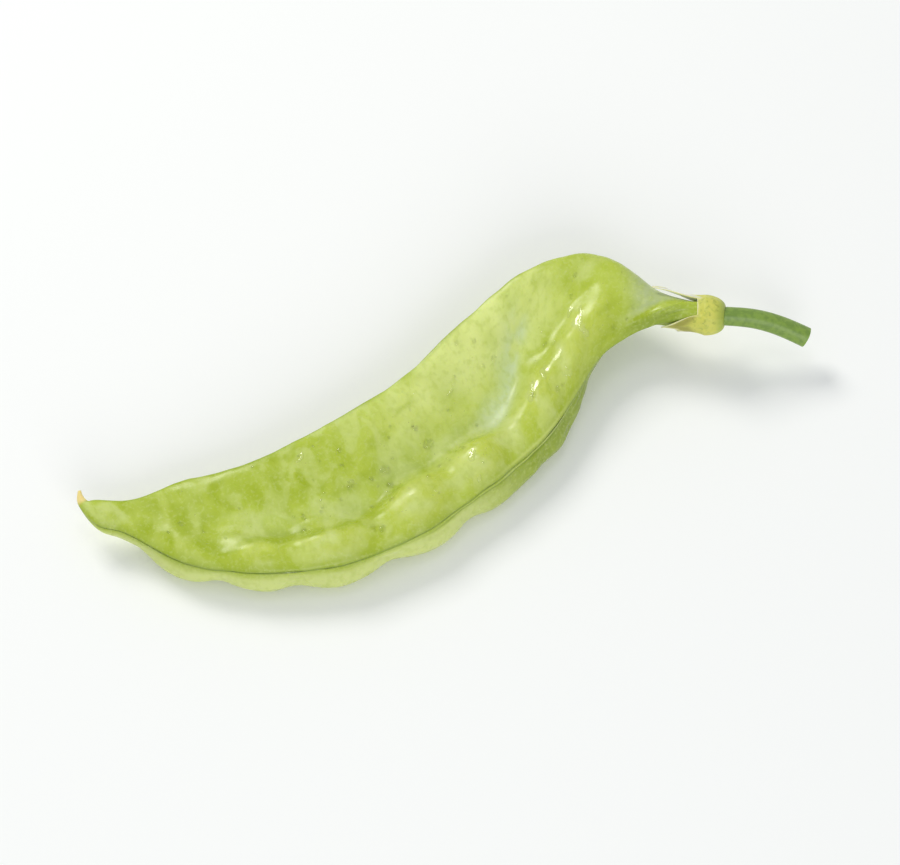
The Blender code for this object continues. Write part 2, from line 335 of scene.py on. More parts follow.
def natural_spline(knots: np.ndarray, values: np.ndarray, where: np.ndarray) -> np.ndarray:
    """Reads a natural cubic spline.

    Between two knots the curve is the cubic that meets its neighbours with equal slope and bend,
    and the bend is zero at both ends. The bends come from one linear system.

    Args:
        knots: Growing distances, one for each value.
        values: A row of numbers for each knot.
        where: The distances at which the curve is read.

    Returns:
        A row of numbers for each distance.
    """
    steps = np.diff(knots)
    count = len(knots)
    system = np.eye(count)
    target = np.zeros_like(values)
    slopes = np.diff(values, axis=0) / steps[:, None]
    for i in range(1, count - 1):
        system[i, i - 1 : i + 2] = steps[i - 1], 2 * (steps[i - 1] + steps[i]), steps[i]
        target[i] = 6 * (slopes[i] - slopes[i - 1])
    bend = np.linalg.solve(system, target)
    i = np.clip(np.searchsorted(knots, where) - 1, 0, count - 2)
    step = steps[i][:, None]
    before = (where - knots[i])[:, None]
    after = (knots[i + 1] - where)[:, None]
    curve = (bend[i] * after**3 + bend[i + 1] * before**3) / (6 * step)
    curve += (values[i] / step - bend[i] * step / 6) * after
    curve += (values[i + 1] / step - bend[i + 1] * step / 6) * before
    return curve


def crowded(count: int, crowding: float) -> np.ndarray:
    """Shares from 0 to 1 that get closer to both ends: the even share less a part of its sine.

    Args:
        count: The number of steps.
        crowding: 0 for even steps, towards 1 for steps that shrink to nothing at the ends.

    Returns:
        The shares, one more than the steps.
    """
    share = np.linspace(0, 1, count + 1)
    return share - crowding * np.sin(2 * math.pi * share) / (2 * math.pi)


def smooth(values: np.ndarray, low: float, high: float) -> np.ndarray:
    """0 below low, 1 above high and an S-curve of 3t squared less 2t cubed between."""
    share = np.clip((values - low) / (high - low), 0, 1)
    return share * share * (3 - 2 * share)


def waves(points: np.ndarray, length: float, seed: int, count: int = 28) -> np.ndarray:
    """Soft noise in space: the sum of plane waves in random directions, about -1 to 1.

    Args:
        points: Places in millimetres, any grid of them.
        length: The middle wavelength in millimetres. Each wave's is within a third of it.
        seed: Fixes the directions, lengths and phases.
        count: The number of waves.

    Returns:
        One value for each place.
    """
    draw = np.random.default_rng(seed)
    ways = unit(draw.normal(size=(count, 3)))
    rates = 2 * math.pi / (length * draw.uniform(0.67, 1.33, count))
    phases = draw.uniform(0, 2 * math.pi, count)
    total = np.zeros(points.shape[:-1])
    for way, rate, phase in zip(ways, rates, phases):
        total += np.cos(points @ way * rate + phase)
    return total / math.sqrt(count)


def outward(rings: np.ndarray) -> np.ndarray:
    """Unit normals of a tube: the cross product of its two grid directions, turned to face out."""
    along = np.gradient(rings, axis=0)
    around = np.roll(rings, -1, axis=1) - np.roll(rings, 1, axis=1)
    normals = np.cross(around, along)
    normals /= np.maximum(np.linalg.norm(normals, axis=-1, keepdims=True), 1e-9)
    return normals * np.sign(np.sum(normals * (rings - rings.mean(axis=1, keepdims=True))))


def tube_faces(count: int, sides: int) -> np.ndarray:
    """Corner numbers of a closed tube: quads between its rings, and a fan to a pole at each end.

    Args:
        count: The number of rings.
        sides: The number of points in a ring.

    Returns:
        Rows of four corners, where a fan's triangle has -1 in the fourth place.
    """
    ring, side = np.meshgrid(np.arange(count - 1), np.arange(sides), indexing="ij")
    here = (ring * sides + side).ravel()
    beside = (ring * sides + (side + 1) % sides).ravel()
    quads = np.stack([here, here + sides, beside + sides, beside], axis=1)
    side = np.arange(sides)
    after = (side + 1) % sides
    none = np.full(sides, -1)
    first = np.stack([np.full(sides, count * sides), side, after, none], axis=1)
    last = (count - 1) * sides
    second = np.stack([np.full(sides, count * sides + 1), last + after, last + side, none], axis=1)
    return np.vstack([quads, first, second])


def with_poles(grid: np.ndarray) -> np.ndarray:
    """A grid's points or values as rows, then the means of its first and of its last ring."""
    means = grid[[0, -1]].mean(axis=1)
    return np.concatenate([grid.reshape(-1, *grid.shape[2:]), means])


def face_out(points: np.ndarray, faces: np.ndarray) -> np.ndarray:
    """Turns a closed surface's faces round if, seen from its middle, they hold a negative volume.

    Args:
        points: The surface's points.
        faces: Rows of four corners, with -1 in the fourth place of a triangle.

    Returns:
        The faces, pointing out.
    """
    corners = points[faces[:, :3]] - points.mean(axis=0)
    if np.sum(corners[:, 0] * np.cross(corners[:, 1], corners[:, 2])) >= 0:
        return faces
    return np.where(faces[:, 3:] < 0, faces[:, [2, 1, 0, 3]], faces[:, ::-1])


def add_object(name: str, data: bpy.types.ID) -> bpy.types.Object:
    """Puts an object that holds the data into the scene."""
    made = bpy.data.objects.new(name, data)
    bpy.context.scene.collection.objects.link(made)
    return made


def add_piece(name: str, points: np.ndarray, faces: np.ndarray, notes: dict[str, np.ndarray],
              material: bpy.types.Material, node: str | None = None) -> bpy.types.Object:
    """Puts a mesh into the scene as a piece that rides on the pod's one body.

    Args:
        name: The piece's name.
        points: Its points in millimetres.
        faces: Rows of four corners, with -1 in the fourth place of a triangle.
        notes: Named grids of values for its rings, which its material reads.
        material: Its material.
        node: The node of the frame that the piece stands for, if any.

    Returns:
        The piece, at the origin, unturned and unscaled.
    """
    mesh = bpy.data.meshes.new(name)
    rows = face_out(points, faces).tolist()
    mesh.from_pydata((points * MM).tolist(), [], [row[:3] if row[3] < 0 else row for row in rows])
    mesh.shade_smooth()
    mesh.materials.append(material)
    for note, values in notes.items():
        kept = mesh.attributes.new(note, "FLOAT", "POINT")
        kept.data.foreach_set("value", with_poles(values).astype("f"))
    piece = add_object(name, mesh)
    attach(piece, "root")
    if node:
        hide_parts(node)
    log.info("%s: %d points, %d faces", name, len(points), len(faces))
    return piece


def linear(code: str) -> tuple[float, float, float, float]:
    """The linear colour of an sRGB hex code such as #AABBCC."""
    shares = [int(code[i : i + 2], 16) / 255 for i in (1, 3, 5)]
    light = [c / 12.92 if c <= 0.04045 else ((c + 0.055) / 1.055) ** 2.4 for c in shares]
    return (*light, 1.0)


def set_inputs(made: bpy.types.Node, inputs: dict[str | int, object]) -> None:
    """Gives a node's input sockets their values or their links.

    Args:
        made: The node.
        inputs: For each input socket, its value or the output socket that is linked to it.
    """
    for name, value in inputs.items():
        if isinstance(value, bpy.types.NodeSocket):
            made.id_data.links.new(value, made.inputs[name])
        else:
            made.inputs[name].default_value = value


def add_node(tree: bpy.types.NodeTree, kind: str, output: str | int,
             inputs: dict[str | int, object] | None = None, **settings: object) -> bpy.types.NodeSocket:
    """Adds a shader node with its settings and links.

    Args:
        tree: The material's node tree.
        kind: The node's type.
        output: The output socket that is wanted.
        inputs: For each input socket, its value or the output socket that is linked to it.
        **settings: The node's own properties.

    Returns:
        The output socket.
    """
    made = tree.nodes.new(kind)
    for name, value in settings.items():
        setattr(made, name, value)
    set_inputs(made, inputs or {})
    return made.outputs[output]


def start_material(name: str) -> tuple[bpy.types.Material, bpy.types.Node]:
    """A new material and its Principled shader."""
    made = bpy.data.materials.new(name)
    made.use_nodes = True
    return made, made.node_tree.nodes["Principled BSDF"]


@dataclass(frozen=True)
class Spots:
    """Noise whose spots are about size millimetres across."""

    size: float
    detail: float = 2.0
    distortion: float = 0.0

    def over(self, place: bpy.types.NodeSocket) -> bpy.types.NodeSocket:
        """The noise at each place."""
        values = {"Vector": place, "Scale": 1 / (self.size * MM), "Detail": self.detail,
                  "Distortion": self.distortion}
        return add_node(place.id_data, "ShaderNodeTexNoise", "Fac", values)


@dataclass(frozen=True)
class Ramp:
    """An S-curve of a value or of one of the piece's notes, from 0 at low to top at high."""

    value: bpy.types.NodeSocket | str
    low: float
    high: float
    top: float = 1.0


@dataclass
class Paint:
    """A colour that is built up in layers, as the nodes of one material."""

    tree: bpy.types.NodeTree
    colour: object

    def read(self, factor: object) -> object:
        """A factor as a node takes it.

        Args:
            factor: A number, a socket, a ramp or the name of one of the piece's notes.

        Returns:
            The number or the socket.
        """
        if isinstance(factor, str):
            return add_node(self.tree, "ShaderNodeAttribute", "Fac", attribute_name=factor)
        if isinstance(factor, Ramp):
            limits = {"Value": self.read(factor.value), "From Min": factor.low, "From Max": factor.high,
                      "To Max": factor.top}
            return add_node(self.tree, "ShaderNodeMapRange", "Result", limits,
                            interpolation_type="SMOOTHSTEP")
        return factor

    def product(self, *factors: object) -> object:
        """The product of some factors.

        Args:
            *factors: The factors, in any of the forms that read takes.

        Returns:
            The socket of the product, or the factor itself where there is only one.
        """
        total = self.read(factors[0])
        for factor in factors[1:]:
            pair = {0: total, 1: self.read(factor)}
            total = add_node(self.tree, "ShaderNodeMath", "Value", pair, operation="MULTIPLY")
        return total

    def layer(self, code: str, *factors: object) -> None:
        """Lays a colour over what is there, as strongly as the product of the factors says."""
        inputs = {0: self.product(*factors), 6: self.colour, 7: linear(code)}
        self.colour = add_node(self.tree, "ShaderNodeMix", 2, inputs, data_type="RGBA")


@dataclass(frozen=True)
class PodFinish:
    """Snow pea skin: living plant skin under a thin wax bloom, damp from washing.

    The wax makes it pale and soft where it is whole, and the wet flesh shows deeper and glossier
    where it is rubbed off, so the skin is mottled in soft patches of a few millimetres that run
    across the pod. Thin walls behind the peas let light through, which is painted on as a paler
    colour, and fine veins net them.
    """

    flesh: str = "#B4C544"
    deep: str = "#9EB124"
    pale: str = "#CAD682"
    ripe: str = "#CED666"
    # Painted reflection: the pale blue-grey sheen of the light in the fold behind the peas.
    bloom: str = "#C4D4A6"
    # Painted light: the glow of light that comes through the thin wall behind the peas.
    thin: str = "#DBE58C"
    grey: str = "#B0BD8C"
    # Painted light: the lower valve made paler by light from the floor and through the valve.
    under: str = "#CDD788"
    # Painted shade: the deep olive of the lower valve's side by the suture, and of the neck's band below
    # the shoulder.
    side: str = "#889C36"
    seam: str = "#8EA22A"
    # Painted shade: the dark line in the suture's groove and beside the lip below it.
    groove: str = "#71892C"
    # Painted highlight: a pale streak of light along the crest of the seam by the hump.
    rim: str = "#D3DC88"
    dry: str = "#E8D28A"
    clouds: Spots = Spots(6.5, 2.0, 0.3)
    patches: Spots = Spots(3.2, 2.0, 0.4)
    mottle: Spots = Spots(0.8)
    specks: Spots = Spots(0.4, 1.0)
    puddles: Spots = Spots(0.9, 2.0, 0.8)
    film: Spots = Spots(1.5, 1.0)
    grain: Spots = Spots(0.3, 3.0)
    vein_size: float = 2.4
    stretch: float = 0.75
    grain_bump: float = 0.10
    film_bump: float = 0.4

    def material(self) -> bpy.types.Material:
        """Builds the skin's material from the piece's notes and its own flow over the skin."""
        made, shader = start_material("snow_pea_skin")
        tree = made.node_tree
        place = add_node(tree, "ShaderNodeTexCoord", "Object")
        flow = add_node(tree, "ShaderNodeAttribute", "Vector", attribute_name="flow")
        flow = add_node(tree, "ShaderNodeMapping", "Vector",
                        {"Vector": flow, "Scale": (1, self.stretch, 1)})
        clouds, patches, mottle = (s.over(flow) for s in (self.clouds, self.patches, self.mottle))
        net = add_node(tree, "ShaderNodeTexVoronoi", "Distance",
                       {"Vector": flow, "Scale": 1 / (self.vein_size * MM)}, feature="DISTANCE_TO_EDGE")
        paint = Paint(tree, linear(self.flesh))
        for code, *factors in (
            (self.deep, Ramp(clouds, 0.45, 0.62, 0.4)),
            (self.pale, Ramp(patches, 0.49, 0.58, 0.42), "bloomy"),
            (self.ripe, "swell", 0.35),
            (self.thin, "thin", Ramp(clouds, 0.8, 0.4, 0.95)),
            (self.deep, "dark", Ramp(patches, 0.74, 0.42, 0.95)),
            (self.pale, "pale", 0.9),
            # painted reflection of the light in the fold
            (self.bloom, "fold", Ramp(patches, 0.25, 0.55, 0.8)),
            (self.under, "under", 0.85),
            (self.side, "side", 0.85),
            (self.grey, "neck", 0.85),
            (self.seam, "seam", 0.6),
            (self.deep, Ramp(mottle, 0.45, 0.70, 0.26)),
            (self.pale, Ramp(self.specks.over(place), 0.50, 0.72, 0.26)),
            (self.pale, Ramp(net, 0.10, 0.0, 0.10)),
            (self.seam, "edge", 0.8),
            (self.rim, "ridge_highlight", 0.5),
            (self.groove, "groove", 0.8),
            (self.dry, "style"),
        ):
            paint.layer(code, *factors)
        rough = add_node(tree, "ShaderNodeMapRange", "Result",
                         {"Value": patches, "From Min": 0.4, "From Max": 0.7, "To Min": 0.25,
                          "To Max": 0.40})
        bump = add_node(tree, "ShaderNodeBump", "Normal",
                        {"Height": self.grain.over(place), "Strength": self.grain_bump,
                         "Distance": 0.1 * MM})
        ripple = add_node(tree, "ShaderNodeBump", "Normal",
                          {"Height": self.film.over(place), "Strength": self.film_bump,
                           "Distance": 0.2 * MM})
        wet = paint.product(Ramp(self.puddles.over(place), 0.38, 0.46), Ramp("wet", 0.15, 0.85))
        set_inputs(shader, {
            "Base Color": paint.colour, "Roughness": rough, "Normal": bump, "IOR": 1.42,
            "Specular IOR Level": 0.46, "Subsurface Weight": 0.25, "Subsurface Radius": GREEN_SPREAD,
            "Subsurface Scale": 1.2 * MM, "Coat Weight": wet, "Coat Normal": ripple,
            "Coat Roughness": 0.08, "Coat IOR": 1.6,
        })
        return made


@dataclass(frozen=True)
class TissueFinish:
    """Green plant tissue: mottled by its fibres, over and under colours that follow the notes."""

    name: str
    flesh: str
    fibres: Spots
    base: tuple[tuple[str, str, float], ...]
    mottles: tuple[tuple[str, float, float, float], ...]
    layers: tuple[tuple[str, str, float], ...]
    bump: float
    roughness: float
    glow: float
    glow_depth: float

    def material(self) -> bpy.types.Material:
        """Builds the tissue's material from the piece's notes and its Object coordinates."""
        made, shader = start_material(self.name)
        tree = made.node_tree
        fibres = self.fibres.over(add_node(tree, "ShaderNodeTexCoord", "Object"))
        paint = Paint(tree, linear(self.flesh))
        for code, note, strength in self.base:
            paint.layer(code, note, strength)
        for code, low, high, top in self.mottles:
            paint.layer(code, Ramp(fibres, low, high, top))
        for code, note, strength in self.layers:
            paint.layer(code, note, strength)
        bump = add_node(tree, "ShaderNodeBump", "Normal",
                        {"Height": fibres, "Strength": self.bump, "Distance": 0.1 * MM})
        set_inputs(shader, {
            "Base Color": paint.colour, "Normal": bump, "Roughness": self.roughness,
            "Subsurface Weight": self.glow, "Subsurface Radius": GREEN_SPREAD,
            "Subsurface Scale": self.glow_depth * MM,
        })
        return made


@dataclass(frozen=True)
class WaterFinish:
    """Tap water: clear, with sharp highlights."""

    name: str
    tint: str
    sockets: tuple[tuple[str, float], ...]

    def material(self) -> bpy.types.Material:
        """Builds the water's material, whose sockets all hold constant values."""
        made, shader = start_material(self.name)
        set_inputs(shader, {"Base Color": linear(self.tint), **dict(self.sockets)})
        return made


# A fleshy yellow-green cup, which dries to thin, pale, papery edges.
SEPAL_TISSUE = TissueFinish(
    "sepal_tissue", "#CDCD5C", Spots(0.5, 3.0, 0.5), (("#A4B346", "base", 0.9),),
    (("#A4B346", 0.45, 0.70, 0.5), ("#8F8A3A", 0.58, 0.74, 0.45)),
    (("#8F8A3A", "blade", 0.75), ("#EDEFE4", "paper", 1.0), ("#ECEAB0", "rim", 0.9)),
    bump=0.3, roughness=0.45, glow=0.3, glow_depth=0.6,
)
# A smooth green rind with faint ribs, and a pale juicy cut.
PEA_STALK = TissueFinish(
    "pea_stalk", "#7F9C3F", Spots(0.6, 3.0), (), (("#688636", 0.40, 0.65, 0.7),),
    (("#D5DFA0", "cut", 1.0), ("#E9EDCB", "pith", 1.0)),
    bump=0.2, roughness=0.4, glow=0.2, glow_depth=0.8,
)
# Small beads, clear and sharp.
WATER = WaterFinish("water", "#FFFFFF", (
    ("Roughness", 0.02), ("IOR", 1.4), ("Specular IOR Level", 1.0), ("Transmission Weight", 1.0),
    ("Alpha", 0.5),
))
# Water spread thin on pale skin: it shows the skin's colour, and mirrors the lights.
WATER_FILM = WaterFinish("water_film", "#E2EC88", (
    ("Roughness", 0.06), ("IOR", 1.4), ("Specular IOR Level", 1.0), ("Coat Weight", 1.0),
    ("Coat Roughness", 0.03), ("Coat IOR", 1.5), ("Alpha", 0.36),
))


@dataclass
class Pod:
    """The two valves of the pod, from the neck over the hump and the blade to the beak.

    Its fields are what shapes the valves, then the relief on them, then what colours them.
    """

    sections: tuple[Section, ...] = SECTIONS
    swellings: tuple[Swelling, ...] = SWELLINGS
    rings: int = 420
    valve_steps: int = 110
    end_crowding: float = 0.6
    edge_crowding: float = 0.72
    arc_steps: int = 400
    belly_fade: float = 1.5
    seam_height: float = 0.3
    seam_width: float = 0.55
    seam_full_width: float = 8.0
    seam_least: float = 0.35
    groove_depth: float = 0.06
    groove_width: float = 0.13
    groove_full_width: float = 10.0
    groove_least: float = 0.2
    groove_fade: float = 2.0
    fold: tuple[Crease, ...] = FOLD
    fold_outer: float = 3.2
    fold_waver: Ripple = Ripple(0.25, 6.0, 4)
    shoulder: tuple[Crease, ...] = SHOULDER
    shoulder_width: float = 0.7
    shoulder_dip: float = 0.4
    neck_zone: Zone = Zone((12.0, 7.0))
    broad: Ripple = Ripple(0.10, 11.0, 5)
    middling: Ripple = Ripple(0.05, 4.5, 6)
    fine: Ripple = Ripple(0.012, 1.7, 7)
    full_body: Zone = Zone(band=(6.0, 13.0))
    slim_body: Zone = Zone(band=(3.0, 8.0))
    hump: Ripple = Ripple(0.09, 3.6, 11)
    hump_zone: Zone = Zone((10.0, 14.0, 31.0, 27.0), (1.5, 3.0, 10.0, 8.0))
    lip_place: float = 0.62
    lip_width: float = 0.12
    lip_sink: float = 0.05
    lip_shade: float = 0.7
    lip_zone: Zone = Zone((14.0, 22.0, 52.0, 42.0))
    fibres: Ripple = Ripple(0.05, 0.9, 10)
    fibre_stretch: float = 6.0
    fibre_zone: Zone = Zone(band=(0.3, 0.7, 4.5, 2.0))
    pleat_height: float = 0.05
    pleat_width: float = 0.62
    pleat_zone: Zone = Zone((9.0, 4.0), (0.4, 0.8, 2.6, 2.0))
    patches: tuple[Patch, ...] = PATCHES_AND_PAINTED_LIGHT
    wet: tuple[Patch, ...] = WET
    patch_wavers: tuple[Ripple, Ripple] = (Ripple(0.7, 3.0, 8), Ripple(0.7, 3.0, 9))
    # Where the painted sheen of the fold lies, and how far it spreads to each side.
    fold_sheen_place: float = 0.3
    fold_sheen_widths: tuple[float, float] = (1.2, 2.9)
    fold_sheen_zone: Zone = Zone((21.5, 24.5))
    fold_sheen_full: Zone = Zone((36.0, 32.0))
    # Painted shade: a dark band along the fold on the peas' side, where their slope faces away from the
    # light.
    shade_brow_place: float = -0.8
    shade_brow_width: float = 0.7
    shade_brow_zone: Zone = Zone((28.0, 34.0, 80.0, 76.0))
    tip_zone: Zone = Zone((50.0, 66.0))
    waxy_zone: Zone = Zone((10.0, 26.0, 84.0, 68.0))
    # Where the painted glow through the thin wall lies, along the back.
    thin_glow_zone: Zone = Zone((14.0, 24.0, 52.0, 34.0), (13.0, 3.0))
    # Where painted light makes the lower valve paler.
    lit_under_zone: Zone = Zone((32.0, 40.0), (0.2, 1.4))
    # Where painted shade darkens the neck's band by the suture and the lower valve's side.
    shaded_side_zone: Zone = Zone((46.0, 28.0), (0.2, 0.6, 6.0, 3.0))
    shaded_throat_zone: Zone = Zone((1.0, 4.0, 12.0, 7.0), (2.2, 0.9))
    seam_zone: Zone = Zone((42.0, 28.0))
    back_width: float = 0.35
    # Where the painted highlight along the seam's crest lies, and its widths.
    ridge_highlight_place: tuple[float, float] = (29.0, 0.35)
    ridge_highlight_size: tuple[float, float] = (9.0, 0.15)
    style_fade: float = 0.3
    finish: PodFinish = PodFinish()
    along: np.ndarray = field(init=False)
    points: np.ndarray = field(init=False)
    normals: np.ndarray = field(init=False)
    skin: np.ndarray = field(init=False)

    def knots(self) -> np.ndarray:
        """Distance of each section from the stalk end, along the middle of the pod."""
        return lengths(np.array([(np.array(s.suture) + s.back) / 2 for s in self.sections]))

    def valve(self, width: np.ndarray, form: np.ndarray, side: Side, steps: int) -> np.ndarray:
        """Profiles of one valve, a row for each ring.

        A turn runs from the suture (0) to the back (half a circle). Across the pod the profile
        follows the turn's cosine, and out of it the sine times the valve's rise, leaned towards the
        suture by the cosine. The upper valve is dished by a squared sine, and the lower one swells
        past the suture by the sine times a fading power. The points are then spread over the skin.

        Args:
            width: The distance between suture and back, one for each ring.
            form: Upper, lower, lean, belly and dish, each a column for the rings.
            side: Which valve.
            steps: The number of steps from the suture to the back.

        Returns:
            Across from the back, out, and the distance over the skin from the suture.
        """
        upper, lower, lean, belly, dish = form
        turn = np.linspace(0, math.pi, self.arc_steps)[None, :]
        share = (1 + np.cos(turn)) / 2
        across = width * share
        rise = upper if side is Side.UPPER else lower
        out = side.value * rise * np.sin(turn) * (1 + lean * np.cos(turn))
        if side is Side.UPPER:
            out = out - dish * np.sin(math.pi * share) ** 2
        else:
            across = across + belly * np.sin(turn) * share**self.belly_fade
        pieces = np.hypot(np.diff(across), np.diff(out))
        over = np.concatenate([np.zeros((len(across), 1)), np.cumsum(pieces, axis=1)], axis=1)
        wanted = over[:, -1:] * crowded(steps, self.edge_crowding)
        rows = zip(wanted, over, across, out)
        read = [[np.interp(w, s, a), np.interp(w, s, o), w] for w, s, a, o in rows]
        return np.array(read).transpose(1, 0, 2)

    def surface(self, along: np.ndarray, steps: int) -> tuple[np.ndarray, np.ndarray, np.ndarray]:
        """The skin as a grid: along the pod, and round it from the suture over the upper valve.

        Each ring lies in the plane of its suture point, its back point and the out direction, which
        is square to the pod's middle line. The swellings, each a squared paraboloid of the distance
        over the skin, and the seam, a bell curve, are lifted off it along its normal.

        Args:
            along: Distances from the stalk end.
            steps: The number of steps from the suture to the back on each valve.

        Returns:
            The points, the distance of each from the suture over its valve, and the swelling there.
        """
        knots = self.knots()
        suture = natural_spline(knots, np.array([s.suture for s in self.sections]), along)
        back = natural_spline(knots, np.array([s.back for s in self.sections]), along)
        form = natural_spline(knots, np.array([s.form() for s in self.sections]), along)
        form = form.T[:, :, None]
        width = np.linalg.norm(suture - back, axis=1, keepdims=True)
        across_way = (suture - back) / width
        middle = (suture + back) / 2
        out_way = unit(np.cross(np.gradient(middle, along, axis=0), across_way))
        top = self.valve(width, form, Side.UPPER, steps)
        under = self.valve(width, form, Side.LOWER, steps)[:, :, -2:0:-1]
        across, out, skin = np.concatenate([top, under], axis=2)
        rings = back[:, None] + across[..., None] * across_way[:, None]
        rings = rings + out[..., None] * out_way[:, None]
        is_upper = np.arange(skin.shape[1]) <= steps
        swell = np.zeros_like(skin)
        for pea in self.swellings:
            away = ((along[:, None] - pea.along) / pea.length) ** 2
            away = away + ((skin - pea.depth) / pea.width) ** 2
            swell += np.where(is_upper, pea.upper, pea.lower) * np.clip(1 - away, 0, None) ** 2
        slimness = np.clip(width / self.seam_full_width, self.seam_least, 1)
        lift = swell + self.seam_height * slimness * np.exp(-((skin / self.seam_width) ** 2))
        return rings + lift[..., None] * outward(rings), skin, swell

    @staticmethod
    def crease(points: tuple[Crease, ...], along: np.ndarray) -> tuple[np.ndarray, ...]:
        """Distance from the suture, sink and inner width of a crease at each ring, as columns.

        Args:
            points: The crease's points.
            along: Distances from the stalk end.

        Returns:
            The distances from the suture, from a spline, and the rest from straight lines.
        """
        knots = np.array([c.along for c in points])
        reach = np.clip(along, knots[0], knots[-1])
        depth = natural_spline(knots, np.array([[c.depth] for c in points]), reach)
        sink = np.interp(along, knots, [c.sink for c in points])
        inner = np.interp(along, knots, [c.inner for c in points])
        return depth, sink[:, None], inner[:, None]

    def tone(self, patches: tuple[Patch, ...], at: Survey) -> np.ndarray:
        """The sum of the patches' tones at each point, from 1 to -1.

        Each patch is a flat-topped bell of the distance from its middle, measured in its half
        length and half width. Waves in space shift the places, so that no edge is even.

        Args:
            patches: The patches.
            at: What is measured over the skin.

        Returns:
            One value for each point.
        """
        total = np.zeros_like(at.skin)
        along, depth = (w + r.at(at.rings) for w, r in zip((at.along, at.skin), self.patch_wavers))
        for patch in patches:
            away = ((along - patch.along) / patch.length) ** 2
            away = away + ((depth - patch.depth) / patch.width) ** 2
            total += patch.tone * np.exp(-(away**1.5))
        return np.clip(total, -1, 1)

    def relief(self, at: Survey, beak: float) -> tuple[np.ndarray, np.ndarray]:
        """How far each point is raised along its normal, and how strongly painted shade darkens it in a
        line.

        The groove in the suture is a narrow bell curve. The fold behind the peas is one too,
        steeper on their side. Along the neck the skin between the suture and the shoulder is a low
        roll, with pleats that are a cosine. Below the suture, beside the hump, lies a lip with
        fibres. The dimples are waves in space of three sizes, and the hump has more of its own.

        Args:
            at: What is measured over the skin.
            beak: How far along the beak begins, which has no groove.

        Returns:
            The height, and 0 to 1 of painted shade for the groove and the lip.
        """
        lower = ~at.upper
        body = self.full_body.share(at.along, at.over)
        deep = self.groove_depth * np.clip(at.over / self.groove_full_width, self.groove_least, 1)
        groove = bell(at.skin, 0, self.groove_width) * smooth(at.along, beak, beak - self.groove_fade)
        fold = bell(at.skin, at.line, np.where(at.skin < at.line, at.inner, self.fold_outer))
        roll = smooth(at.skin, at.edge, at.edge - self.shoulder_width)
        roll = roll - self.shoulder_dip * bell(at.skin, at.edge, self.shoulder_width)
        height = (at.drop * roll - at.sink * fold) * at.upper - deep * groove
        height += body * (self.broad.at(at.rings) + self.middling.at(at.rings))
        height += self.slim_body.share(at.along, at.over) * self.fine.at(at.rings)
        hump = self.hump_zone.share(at.along, at.skin) * at.upper
        height += hump * self.hump.at(at.rings)
        lip = bell(at.skin, self.lip_place, self.lip_width) * lower
        lip = lip * self.lip_zone.share(at.along, at.skin)
        strands = [at.along / self.fibre_stretch + 0 * at.skin, at.skin, 0 * at.skin]
        fibres = self.fibres.at(np.stack(strands, axis=-1)) * self.fibre_zone.share(at.along, at.skin)
        height += fibres * lower * body - self.lip_sink * lip
        pleats = self.pleat_zone.share(at.along, at.skin) * at.upper
        height += self.pleat_height * pleats * np.cos(2 * math.pi * at.skin / self.pleat_width)
        return height, groove + self.lip_shade * lip

    def notes(self, at: Survey, lines: np.ndarray, style: float) -> dict[str, np.ndarray]:
        """What the skin's material reads: how strongly each of its colours shows at each point.

        Each note is a product of bell curves and S-curves of the distances along the pod, from the
        suture, from the fold and from the back. A dark brow of painted shade runs along the fold on the
        peas' side, and the skin is darker towards the tip. The fold note paints the light's sheen in the
        fold, the thin and under notes paint light, and the side, groove and dark notes partly paint
        shade.

        Args:
            at: What is measured over the skin.
            lines: 0 to 1 of painted shade for the groove and the lip.
            style: How far along the dry style begins.

        Returns:
            A grid for each note's name.
        """
        along, skin, upper, lower = at.along, at.skin, at.upper, ~at.upper
        neck = self.neck_zone.share(along, skin)
        # The fold note is painted reflection: the light's pale sheen in the fold, mostly on the blade's
        # side.
        away = skin - at.line - self.fold_sheen_place
        fold = bell(away, 0, np.where(away < 0, *self.fold_sheen_widths)) * smooth(at.sink, 0.1, 0.5) * upper
        # A band of painted shade along the fold on the peas' side.
        brow = bell(skin - at.line, self.shade_brow_place, self.shade_brow_width) * self.shade_brow_zone.share(along, skin)
        tone = self.tone(self.patches, at) - 0.3 * self.tip_zone.share(along, skin) - 0.8 * brow
        seam_width = np.where(upper, 0.8 + 1.1 * neck, 0.6 + 0.9 * self.seam_zone.share(along, skin))
        bloom = self.fold_sheen_zone.share(along, skin) * (0.2 + 0.8 * self.fold_sheen_full.share(along, skin))
        # The painted highlight along the seam's crest.
        ridge_highlight = zip((along, skin), self.ridge_highlight_place, self.ridge_highlight_size)
        return {
            "swell": np.clip(at.swell, 0, 1),
            "fold": fold * bloom,
            "bloomy": self.waxy_zone.share(along, skin),
            # pale and dark also carry painted highlights on the peas' crests and painted shade by the
            # fold
            "pale": np.clip(tone, 0, 1) * upper,
            "dark": np.clip(-tone, 0, 1) * upper,
            "wet": self.tone(self.wet, at) * upper,
            # painted glow of light through the thin wall
            "thin": self.thin_glow_zone.share(along, at.over - skin) * upper,
            "neck": neck**2 * smooth(skin, at.edge - 0.2, at.edge + 0.6) * upper,
            # painted light on the lower valve
            "under": self.lit_under_zone.share(along, skin) * lower,
            # painted shade on the neck's band and on the lower valve's side
            "side": np.where(upper, *(z.share(along, skin) for z in (self.shaded_throat_zone, self.shaded_side_zone))),
            "seam": bell(skin, 0, seam_width),
            "edge": bell(at.over - skin, 0, self.back_width) * upper,
            "ridge_highlight": np.prod([bell(*values) + 0 * skin for values in ridge_highlight], axis=0),
            "groove": lines,
            "style": smooth(along, style - self.style_fade, style + self.style_fade) + 0 * skin,
        }

